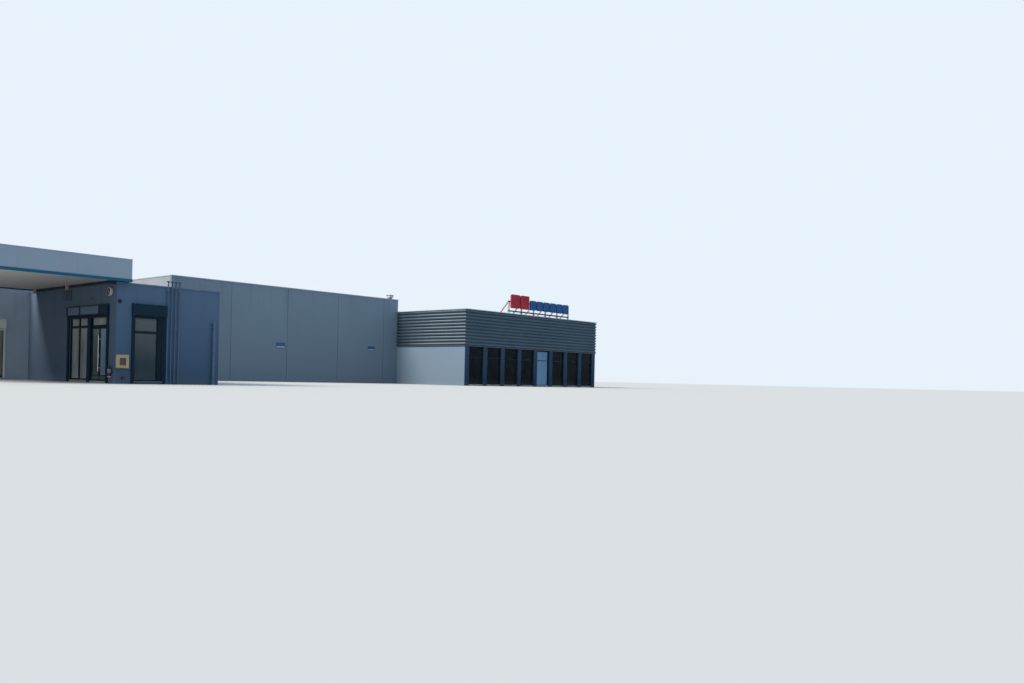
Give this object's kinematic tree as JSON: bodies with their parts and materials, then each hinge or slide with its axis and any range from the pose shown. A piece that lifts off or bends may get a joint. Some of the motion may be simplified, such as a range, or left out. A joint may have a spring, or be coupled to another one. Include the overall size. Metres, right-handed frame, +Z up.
{
  "type": "supermarket building, 1:2 scale model",
  "caption": "Low flat-roofed supermarket with a forecourt canopy, shop wing, tall hall and a glazed, ribbed entrance block, as a 1:2 scale model with two hinged door leaves.",
  "frame": {"origin": "on the ground under the middle of the building's outline", "axes": "+X along the street to the right, +Y away from the street, +Z up"},
  "size_m": [32.547, 23.228, 4.23],
  "materials": {
    "bar_steel": "satin stainless bar",
    "blank_panel": "blank light grey sign panels",
    "blue_sheet": "blue sign face",
    "cabinet_paint": "cream-yellow enamel",
    "canopy_metal": "silver-grey powder coat",
    "cladding_metal": "dark grey ribbed sheet",
    "coping_metal": "light grey folded sheet",
    "dark_box": "dark blue powder coat",
    "dark_frame": "dark slate powder coat",
    "floor_slab": "ground concrete",
    "lamp_shell": "white moulded shell",
    "pipe_paint": "blue-grey painted steel",
    "red_paint": "red enamel",
    "red_sheet": "red sign face",
    "roof_sheet": "light grey roof membrane",
    "sign_metal": "blue painted tube",
    "soffit_panel": "beige-grey strip panels",
    "teal_stripe": "teal edge strip",
    "wall_paint": "smooth painted render, blue-grey",
    "white_box": "white shutter case",
    "window_glass": "dark tinted float glass"
  },
  "bodies": {
    "building": {"wing_front_wall": "wall_paint", "wing_corner_pier": "wall_paint", "wing_door_pier": "dark_frame", "wing_lintel": "wall_paint", "wing_left_wall": "wall_paint", "wing_right_wall": "wall_paint", "wing_roof": "roof_sheet", "wing_floor": "floor_slab", "range_front_wall": "wall_paint", "range_left_wall": "wall_paint", "range_recess_walls": "wall_paint", "range_back_wall": "wall_paint", "range_roof": "roof_sheet", "range_floor": "floor_slab", "hall_front_wall": "wall_paint", "hall_left_wall": "wall_paint", "hall_right_wall": "wall_paint", "hall_back_wall": "wall_paint", "hall_roof": "roof_sheet", "hall_floor": "floor_slab", "entrance_left_wall": "wall_paint", "entrance_front_beam": "wall_paint", "entrance_pilasters": "wall_paint", "entrance_right_wall": "wall_paint", "entrance_back_wall": "wall_paint", "entrance_roof": "roof_sheet", "entrance_floor": "floor_slab", "entrance_frames": "dark_frame", "entrance_glass": "window_glass", "entrance_cladding": "cladding_metal", "copings": "coping_metal", "canopy_columns": "canopy_metal", "canopy_frame": "canopy_metal", "canopy_soffit": "soffit_panel", "canopy_fascia": "canopy_metal", "canopy_stripe": "teal_stripe", "door_frame": "dark_frame", "shop_frames": "dark_frame", "shop_glass": "window_glass", "shutter_boxes": "dark_box", "header_panels": "blank_panel", "range_shutter_box": "white_box", "canopy_flashing": "dark_frame", "vent_pipes": "pipe_paint", "downpipe": "pipe_paint", "fire_point": "red_paint", "wall_cabinet": "cabinet_paint", "wall_lamp": "lamp_shell", "roof_vent": "coping_metal", "sign_frame": "sign_metal", "sign_red_tiles": "red_sheet", "sign_blue_tiles": "blue_sheet"},
    "street_door": {"street_leaf": "dark_frame", "street_leaf_glass": "window_glass", "street_leaf_pull": "bar_steel"},
    "inner_door": {"inner_leaf": "dark_frame", "inner_leaf_glass": "window_glass"}
  },
  "joints": [
    {"name": "street_door_hinge", "type": "hinge", "parent": "building", "child": "street_door", "pos_m": [-11.2165, -10.888, 0.078], "axis": [0, 0, 1], "range_deg": [0, 90]},
    {"name": "inner_door_hinge", "type": "hinge", "parent": "building", "child": "inner_door", "pos_m": [-11.2165, -10.104, 0.078], "axis": [0, 0, -1], "range_deg": [0, 90]}
  ]
}
